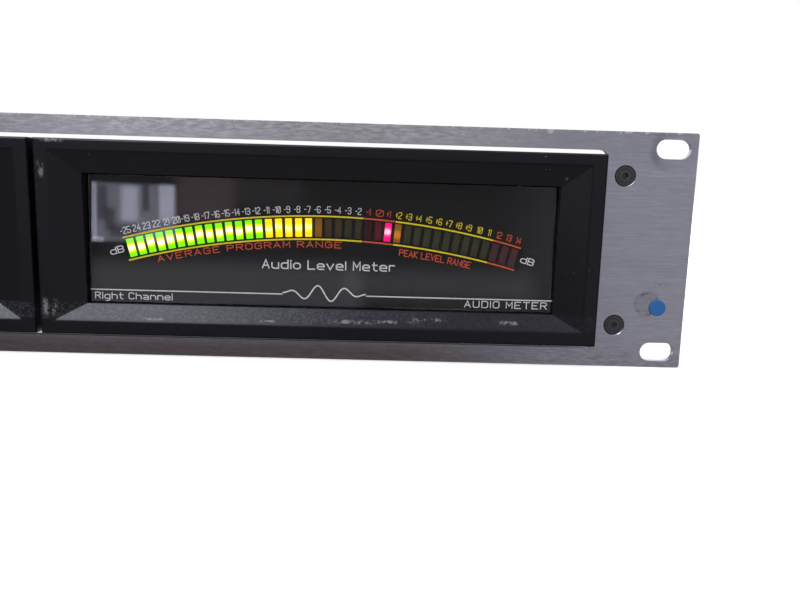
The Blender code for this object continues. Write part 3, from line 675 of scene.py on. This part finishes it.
def printScale(side):
    sheet = Print()
    for value in range(scale["first"], scale["first"] + display["count"]):
        text = numberText(value)
        place = onArc(scale["numbers"], angleOf(value) - (scale["signShift"] if text[0] in "+-" else 0.0))
        squeeze = scale["wideZero"] if value == 0 else scale["narrow"]
        sheet.word(text, scale["numberHeight"], scale["numberWeight"], inkOf(value), place, squeeze,
                   gap=scale["numberGap"])
    for first, last, ink in scaleLines:
        for radius in (scale["upperLine"], scale["lowerLine"]):
            start, end = angleOf(first), angleOf(last)
            steps = max(3, int((end - start) / scale["lineStep"]))
            place = onArc(radius, 0)
            sheet.stroke([place((start + (end - start) * k / steps) * radius, 0) for k in range(steps + 1)],
                         scale["lineWidth"], ink)
    for text, height, weight, ink, radius, angle, span, gap in arcWords:
        sheet.word(text, height, weight, ink, onArc(radius, angle), span=span, gap=gap)
    for text, height, weight, across, up, span, gap in lineWords:
        sheet.word(text.format(side=side.capitalize()), height, weight, white, onLine(across, up), span=span,
                   gap=gap)
    printRule(sheet)
    return sheet


def printRule(sheet):
    wave = []
    for k in range(rule["steps"] + 1):
        swell = math.sin(math.tau * rule["waves"] * k / rule["steps"]) * math.sin(math.pi * k / rule["steps"])
        wave.append((rule["waveStart"] + rule["waveLong"] * k / rule["steps"],
                     rule["up"] + rule["waveUp"] + rule["swing"] * swell))
    sheet.stroke([(x, rule["up"]) for x in rule["left"]], rule["weight"], white)
    sheet.stroke(wave, rule["waveWeight"], white)
    sheet.stroke([(x, rule["up"]) for x in rule["right"]], rule["weight"], white)


inks = {"white_ink": (0.72, 0.72, 0.72), "yellow_ink": (0.85, 0.68, 0.01), "red_ink": (0.68, 0.10, 0.035)}


def inkMaterial(name, colour):
    made, place, shader = newMaterial(name, colour, 0.55)
    thin = place.noise(1400.0, detail=2.0).above(0.25, 0.5)
    drive(shader, "Base Color", thin.mix(tuple(c * 0.72 for c in colour), colour))
    return made


def buildPrints():
    made = [inkMaterial(name, colour) for name, colour in inks.items()]
    for side in sides:
        sheet = printScale(side)
        mesh = bpy.data.meshes.new("scale_print_" + side)
        lift = Matrix.Translation((0, 0, scale["lift"] * mm)) @ Matrix.Scale(mm, 4)
        sheet.mesh.transform(displayPlace(side) @ lift)
        sheet.mesh.to_mesh(mesh)
        piece = bpy.data.objects.new("scale_print_" + side, mesh)
        bpy.context.collection.objects.link(piece)
        for ink in made:
            mesh.materials.append(ink)
        deselectAll()
        piece.select_set(True)
        bpy.context.view_layer.objects.active = piece
        film = piece.modifiers.new("film", "SOLIDIFY")
        film.thickness = scale["film"] * mm
        bpy.ops.object.modifier_apply(modifier="film")
        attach(piece, "root")
    print("prints done")


def windowMaterial():
    made, place, shader = newMaterial("smoked_window", (0.62, 0.60, 0.60), 0.03, IOR=1.49,
                                      Transmission_Weight=1.0)
    haze = place.noise(35.0, detail=4.0)
    drive(shader, "Roughness", haze.above(0.45, 0.8) * 0.015 + 0.008)
    return made


def maskMaterial():
    made, place, shader = newMaterial("dial_mask_black", (0.02, 0.019, 0.019), 0.55)
    film = place.noise(20.0)
    drive(shader, "Base Color", film.mix((0.014, 0.013, 0.014), (0.030, 0.028, 0.028)))
    return made


def buildWindows():
    tinted, black = windowMaterial(), maskMaterial()
    for side in sides:
        frame["nodes"]["window_" + side].data.materials[0] = tinted
        frame["nodes"]["dial_mask_" + side].data.materials[0] = black
    print("windows done")


# how far each segment's bright spot drifts along it and across it, and how fast from segment to segment
drift = {"rise": (0.07, 2.4), "sway": (0.10, 1.7)}
# glow of each kind of segment: end colour, ring colour, middle colour, strength
glows = {
    "green": ((0.16, 0.72, 0.0), (0.80, 0.90, 0.0), (1.0, 1.0, 0.62), 2.5),
    "amber": ((1.0, 0.62, 0.0), (1.0, 0.80, 0.0), (1.0, 1.0, 0.28), 2.4),
    "dimAmber": ((0.20, 0.078, 0.003), (0.23, 0.088, 0.003), (0.25, 0.095, 0.003), 1.5),
    "warmAmber": ((0.24, 0.090, 0.004), (0.45, 0.16, 0.004), (0.62, 0.22, 0.005), 1.5),
    # the brown, olive, moss, dark red, deep red and rust segments are unlit: their faint glow is painted light,
    # standing in for the room's light on them
    "brown": ((0.055, 0.034, 0.008), (0.060, 0.037, 0.009), (0.064, 0.040, 0.010), 0.9),
    "olive": ((0.040, 0.032, 0.011), (0.044, 0.035, 0.012), (0.046, 0.037, 0.013), 0.9),
    "moss": ((0.038, 0.040, 0.015), (0.042, 0.044, 0.016), (0.044, 0.046, 0.017), 0.9),
    "darkRed": ((0.040, 0.003, 0.006), (0.044, 0.003, 0.007), (0.048, 0.003, 0.007), 0.9),
    "deepRed": ((0.090, 0.004, 0.008), (0.098, 0.004, 0.009), (0.105, 0.005, 0.010), 1.2),
    "rust": ((0.068, 0.024, 0.026), (0.072, 0.025, 0.027), (0.076, 0.026, 0.028), 0.9),
    "pink": ((1.0, 0.0, 0.16), (1.0, 0.05, 0.30), (1.0, 0.55, 0.66), 2.2),
}


def glowOf(value):
    if value <= -12:
        return "green"
    if value <= -7:
        return "amber"
    if value == -6:
        return "dimAmber"
    # the unlit segments from here on take a faint painted glow in place of the room's light on them
    if value <= -4:
        return "brown"
    if value <= -2:
        return "olive"
    special = {-1: "darkRed", 0: "deepRed", 1: "pink", 2: "warmAmber"}
    return special.get(value, "moss" if value <= 11 else "rust")


def glowMaterial(name, ends, ring, middle, strength):
    made, place, shader = newMaterial("segment_" + name, tuple(0.12 * c for c in ends), 0.4,
                                      Emission_Strength=strength)
    spread = place.node("ShaderNodeUVMap", {"uv_map": "UVMap"})
    across, along = spread.part("X"), spread.part("Y")
    core = along.bell(0.5, 0.24) * (across.bell(0.5, 0.60) * 0.45 + 0.55)
    grain = place.noise(900.0, detail=2.0)
    ramp = core.node("ShaderNodeValToRGB", {"stops": [(0.16, ends), (0.52, ring), (0.86, middle)]},
                     {0: core + (grain - 0.5) * 0.12})
    drive(shader, "Emission Color", ramp)
    return made


# one light segment with eased edges, its long way up
def modelSegment():
    deselectAll()
    bpy.ops.mesh.primitive_cube_add(size=1.0, calc_uvs=True)
    piece = bpy.context.object
    size = tuple(display[key] * mm for key in ("barWidth", "barHeight", "barDeep"))
    bpy.ops.object.mode_set(mode="EDIT")
    bpy.ops.mesh.select_all(action="SELECT")
    bpy.ops.transform.resize(value=size)
    bpy.ops.object.mode_set(mode="OBJECT")
    edge = piece.modifiers.new("edge", "BEVEL")
    edge.width = display["barEdge"] * mm
    edge.segments = mending["steps"]
    bpy.ops.object.modifier_apply(modifier="edge")
    return piece


# spreads the glow over a segment, its bright spot a little off the middle
def spreadGlow(mesh, rise, sway):
    layer = mesh.uv_layers[0]
    for loop in mesh.loops:
        spot = mesh.vertices[loop.vertex_index].co
        layer.data[loop.index].uv = (spot.x / (display["barWidth"] * mm) + 0.5 + sway,
                                     spot.y / (display["barHeight"] * mm) + 0.5 + rise)


# dark moulding behind the segments: the CAD bars pressed flat to their carrier's face
def buildCarrier(side, black):
    piece = refine("light_bars_" + side, 0.0, newName="segment_carrier_" + side)
    place = displayPlace(side)
    back = place.inverted()
    limit = -(display["windowThick"] * mm + display["carrierGap"] * mm)
    for vertex in piece.data.vertices:
        spot = back @ vertex.co
        if spot.z > limit:
            spot.z = limit
            vertex.co = place @ spot
    mend()
    settle(piece, black)


def buildSegments(black):
    pattern = modelSegment()
    looks = {name: glowMaterial(name, *values) for name, values in glows.items()}
    pitch = display["pitch"] / display["arcRadius"]
    centre = (display["arcTop"] - display["arcRadius"]) * mm
    depth = -(display["windowThick"] * mm + display["barGap"] * mm + display["barDeep"] * mm / 2)
    riseBy, riseStep = drift["rise"]
    swayBy, swayStep = drift["sway"]
    for side in sides:
        buildCarrier(side, black)
        whole = displayPlace(side)
        copies = []
        for i in range(display["count"]):
            angle = (i - (display["count"] - 1) / 2) * pitch
            copy = bpy.data.objects.new(f"segment_{side}_{i}", pattern.data.copy())
            bpy.context.collection.objects.link(copy)
            spreadGlow(copy.data, riseBy * math.sin(riseStep * i), swayBy * math.sin(swayStep * i + 1.0))
            place = (Matrix.Translation((0, centre, depth)) @ Matrix.Rotation(-angle, 4, "Z")
                     @ Matrix.Translation((0, display["arcRadius"] * mm, 0)))
            copy.data.transform(whole @ place)
            copy.data.materials.append(looks[glowOf(scale["first"] + i)])
            copies.append(copy)
        deselectAll()
        for copy in copies:
            copy.select_set(True)
        bpy.context.view_layer.objects.active = copies[0]
        bpy.ops.object.join()
        piece = bpy.context.object
        piece.name = "light_segments_" + side
        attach(piece, "root")
        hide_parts("light_bars_" + side)
    bpy.data.objects.remove(pattern, do_unlink=True)
    print("segments done")


def powderCoat():
    made, place, shader = newMaterial("black_powder_coat", (0.02, 0.02, 0.021), 0.55)
    grain = place.noise(1500.0, detail=2.0)
    rub = place.noise(22.0, detail=4.0)
    drive(shader, "Base Color", rub.mix((0.015, 0.015, 0.016), (0.030, 0.030, 0.031)))
    drive(shader, "Roughness", rub * 0.2 + 0.42)
    bump(shader, grain, 0.00006, 0.4)
    return made


def mottled(name, colour, roughness, metallic=0.0, scale=60.0, swing=0.25, grain=900.0):
    made, place, shader = newMaterial(name, colour, roughness, metallic)
    cloud = place.noise(scale, detail=4.0)
    drive(shader, "Base Color", cloud.mix(tuple(c * (1 - swing) for c in colour),
                                          tuple(min(1, c * (1 + swing)) for c in colour)))
    drive(shader, "Roughness", cloud * 0.16 + (roughness - 0.08))
    bump(shader, place.noise(grain, detail=2.0), 0.00002, 0.3)
    return made


def boardMaterial():
    made, place, shader = newMaterial("circuit_board", (0.02, 0.10, 0.04), 0.4)
    lines = place.node("ShaderNodeTexBrick", {"offset": 0.37},
                       {"Vector": place, "Scale": 90.0, "Mortar Size": 0.06}, out="Fac")
    drive(shader, "Base Color", lines.mix((0.014, 0.085, 0.03), (0.05, 0.20, 0.07)))
    bump(shader, lines, 0.00003, 0.4)
    return made


# eased edges of the sheet metal, in millimetres
sheetEdge = {"case": 0.35, "steel": 0.3}


def buildCases():
    coat = powderCoat()
    zinc = mottled("zinc_plated_steel", (0.55, 0.54, 0.50), 0.38, 1.0, 45.0, 0.15)
    for side in sides:
        for node in ("case_tray_" + side, "top_cover_" + side, "rear_panel_" + side):
            settle(refine(node, sheetEdge["case"]), coat, replaces=[node])
        bracket = "side_bracket_" + side
        settle(refine(bracket, sheetEdge["steel"]), zinc, replaces=[bracket])
    settle(refine("link_plate", sheetEdge["steel"]), zinc, replaces=["link_plate"])
    print("cases done")
    return zinc


def buildInsides(zinc):
    board = boardMaterial()
    black = mottled("black_plastic", (0.02, 0.02, 0.021), 0.42)
    looks = {
        "display_board": board, "main_board": board, "board_link": black, "transformer_core": zinc,
        "transformer_coil": mottled("coil_tape", (0.60, 0.42, 0.08), 0.45, 0.0, 80.0, 0.12),
        "reservoir_capacitor": mottled("capacitor_sleeve", (0.03, 0.05, 0.14), 0.3, 0.0, 30.0, 0.15),
        "heat_sink": mottled("sink_aluminium", (0.5, 0.5, 0.52), 0.4, 1.0, 70.0, 0.1),
        "regulator": black, "voltage_switch": black,
        "fuse": mottled("fuse_glass", (0.70, 0.75, 0.75), 0.12, 0.0, 90.0, 0.1),
        "level_trimmer": mottled("trimmer_blue", (0.03, 0.10, 0.35), 0.4),
    }
    for side in sides:
        for node, look in looks.items():
            frame["nodes"][f"{node}_{side}"].data.materials[0] = look
    print("insides done")
    return black


# pieces of the rear panel: eased edge in millimetres, look, slot, and if it moves on its own body
fittings = {
    "power_inlet_": (0.3, "black", "plastic", False),
    "fuse_holder_": (0.25, "black", "plastic", False),
    "signal_socket_": (0.25, "shell", "socket", False),
    "fuse_cap_": (0.25, "black", "plastic", True),
    "level_rotor_": (0.15, "pale", "slider", True),
    "socket_tab_": (0.4, "pale", "slider", True),
    "voltage_slider_": (0.3, "pale", "slider", True),
}


def buildRearFittings(black):
    looks = {"black": black, "shell": mottled("socket_shell", (0.04, 0.04, 0.042), 0.35, 0.6, 50.0, 0.2),
             "pale": mottled("pale_slider", (0.55, 0.54, 0.50), 0.45, 0.0, 80.0, 0.08)}
    for side in sides:
        for name, (edge, look, slot, moves) in fittings.items():
            node = name + side
            settle(refine(node, edge), looks[look], body=node if moves else "root", replaces=[node])
    print("rear fittings done")


# blackened steel with turned rings round each head
def screwSteel():
    made, place, shader = newMaterial("black_screw_steel", (0.07, 0.066, 0.07), 0.36, 0.5)
    near = None
    for side in sides:
        for level in ("lower", "upper"):
            low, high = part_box(f"panel_screw_{side}_{level}")
            away = place.awayFrom(tuple((a + b) / 2 for a, b in zip(low, high)))
            near = away if near is None else near.math("MINIMUM", near, away)
    rings = near.math("SINE", near * 9000.0) * 0.5 + 0.5
    cloud = place.noise(500.0, detail=3.0)
    tone = rings.mix((0.050, 0.047, 0.050), (0.088, 0.084, 0.090))
    drive(shader, "Base Color", (cloud.above(0.58, 0.70) * 0.5).mix(tone, (0.15, 0.145, 0.15)))
    drive(shader, "Roughness", cloud * 0.2 + 0.28)
    bump(shader, rings, 0.00004, 0.4)
    return made


screwEdge = {"width": 0.15, "angle": 30}


def buildSmallFront():
    blackSteel = screwSteel()
    paper, place, shader = newMaterial("blue_paper", (0.025, 0.15, 0.42), 0.55)
    fibre = place.noise(900.0, detail=4.0)
    drive(shader, "Base Color", fibre.mix((0.022, 0.140, 0.40), (0.040, 0.185, 0.48)))
    bump(shader, fibre, 0.00004, 0.5)
    for side in sides:
        for level in ("lower", "upper"):
            node = f"panel_screw_{side}_{level}"
            settle(refine(node, screwEdge["width"], screwEdge["angle"]), blackSteel, replaces=[node])
    settle(refine("marker_dot", 0.0), paper, replaces=["marker_dot"])
    print("small front pieces done")


# pan head of the small screws, and where they sit: across and up from the middle of what they hold,
# but on the top covers back from the front edge and up from the foot
fastener = {
    "radius": 2.8, "tall": 1.5, "easing": 0.8, "cross": 0.75, "crossLong": 3.4, "deep": 0.9, "over": 1.0,
    "rear": (92, 26), "inlet": 20, "socket": (9.6, 12.2), "coverBack": (22, 118), "coverUp": 4.8,
}


# a pan head with a cross recess, standing on the origin along +Z
def modelScrewHead():
    deselectAll()
    bpy.ops.mesh.primitive_cylinder_add(vertices=24, radius=fastener["radius"] * mm,
                                        depth=fastener["tall"] * mm,
                                        location=(0, 0, fastener["tall"] / 2 * mm))
    head = bpy.context.object
    bpy.ops.object.transform_apply(location=True, rotation=True, scale=True)
    for face in head.data.polygons:
        face.select = face.normal.z > 0.9
    bpy.ops.object.mode_set(mode="EDIT")
    bpy.ops.mesh.bevel(offset=fastener["easing"] * mm, segments=3, profile=0.5, affect="EDGES")
    bpy.ops.object.mode_set(mode="OBJECT")
    over = fastener["over"]      # how far the cutting blades stand over the head
    middle = fastener["tall"] - fastener["deep"] / 2 + over / 2
    for turn in (0, math.pi / 2):
        bpy.ops.mesh.primitive_cube_add(size=1.0, location=(0, 0, middle * mm))
        blade = bpy.context.object
        blade.scale = (fastener["crossLong"] * mm, fastener["cross"] * mm, (fastener["deep"] + over) * mm)
        blade.rotation_euler = (0, 0, turn)
        deselectAll()
        head.select_set(True)
        bpy.context.view_layer.objects.active = head
        recess = head.modifiers.new("recess", "BOOLEAN")
        recess.object = blade
        recess.solver = "EXACT"
        bpy.ops.object.modifier_apply(modifier="recess")
        bpy.data.objects.remove(blade, do_unlink=True)
    bpy.ops.object.shade_smooth_by_angle(angle=math.radians(mending["smooth"]))
    return head


def placeCopies(pattern, name, spots, material):
    deselectAll()
    for i, (spot, way) in enumerate(spots):
        copy = bpy.data.objects.new(f"{name}_{i + 1}", pattern.data.copy())
        bpy.context.collection.objects.link(copy)
        turn = Vector(way).to_track_quat("Z", "Y").to_matrix().to_4x4()
        spin = Matrix.Rotation(0.7 * i + 0.3, 4, "Z")      # each is turned in to another angle
        copy.data.transform(Matrix.Translation(Vector(spot)) @ turn @ spin)
        settle(copy, material)


backward = (0, 1, 0)


def buildFasteners(zinc):
    black = mottled("blackened_screws", (0.035, 0.035, 0.036), 0.4, 0.6, 300.0, 0.3)
    head = modelScrewHead()
    for side in sides:
        low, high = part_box("rear_panel_" + side)
        across, up = fastener["rear"]
        spots = [((meterX[side] + sx * across * mm, high[1], middleZ + sz * up * mm), backward)
                 for sx in (-1, 1) for sz in (-1, 1)]
        placeCopies(head, "rear_screw_" + side, spots, black)
        low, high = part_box("power_inlet_" + side)
        cx, cz = middleX("power_inlet_" + side), (low[2] + high[2]) / 2
        spots = [((cx + s * fastener["inlet"] * mm, high[1], cz), backward) for s in (-1, 1)]
        placeCopies(head, "inlet_screw_" + side, spots, zinc)
        low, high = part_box("signal_socket_" + side)
        cx, cz = middleX("signal_socket_" + side), (low[2] + high[2]) / 2
        across, up = fastener["socket"]
        spots = [((cx + s * across * mm, high[1], cz + s * up * mm), backward) for s in (-1, 1)]
        placeCopies(head, "socket_screw_" + side, spots, black)
        low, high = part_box("top_cover_" + side)
        up = low[2] + fastener["coverUp"] * mm
        spots = [((x, low[1] + back * mm, up), (way, 0, 0)) for x, way in ((low[0], -1), (high[0], 1))
                 for back in fastener["coverBack"]]
        placeCopies(head, "cover_screw_" + side, spots, black)
    bpy.data.objects.remove(head, do_unlink=True)
    print("fasteners done")


# flat bright sleeve on each inlet pin: across and up from the inlet's middle, millimetres
pins = {"spots": ((-7, -2), (0, 2), (7, -2)), "behind": 9.0, "size": (2.16, 12.6, 4.16), "edge": 0.5}


def buildContacts():
    nickel = mottled("nickel_plate", (0.62, 0.60, 0.55), 0.28, 1.0, 200.0, 0.1)
    for side in sides:
        low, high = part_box("power_inlet_" + side)
        cx, cz = middleX("power_inlet_" + side), (low[2] + high[2]) / 2
        middleY = high[1] - pins["behind"] * mm
        for i, (x, z) in enumerate(pins["spots"]):
            deselectAll()
            bpy.ops.mesh.primitive_cube_add(size=1.0, location=(cx + x * mm, middleY, cz + z * mm))
            pin = bpy.context.object
            pin.name = f"inlet_pin_{side}_{i + 1}"
            pin.scale = [length * mm for length in pins["size"]]
            bpy.ops.object.transform_apply(location=True, rotation=True, scale=True)
            tip = pin.modifiers.new("tip", "BEVEL")
            tip.width = pins["edge"] * mm
            tip.segments = 3
            bpy.ops.object.modifier_apply(modifier="tip")
            bpy.ops.object.shade_smooth_by_angle(angle=math.radians(mending["smooth"]))
            settle(pin, nickel)
    print("contacts done")


addCamera()
addStage()
addRoomLight()
addLamps()
buildPanel()
buildBezels()
buildPrints()
buildWindows()
zincSteel = buildCases()
blackPlastic = buildInsides(zincSteel)
buildSegments(blackPlastic)
buildRearFittings(blackPlastic)
buildSmallFront()
buildFasteners(zincSteel)
buildContacts()

bpy.context.scene.view_settings.view_transform = "Standard"
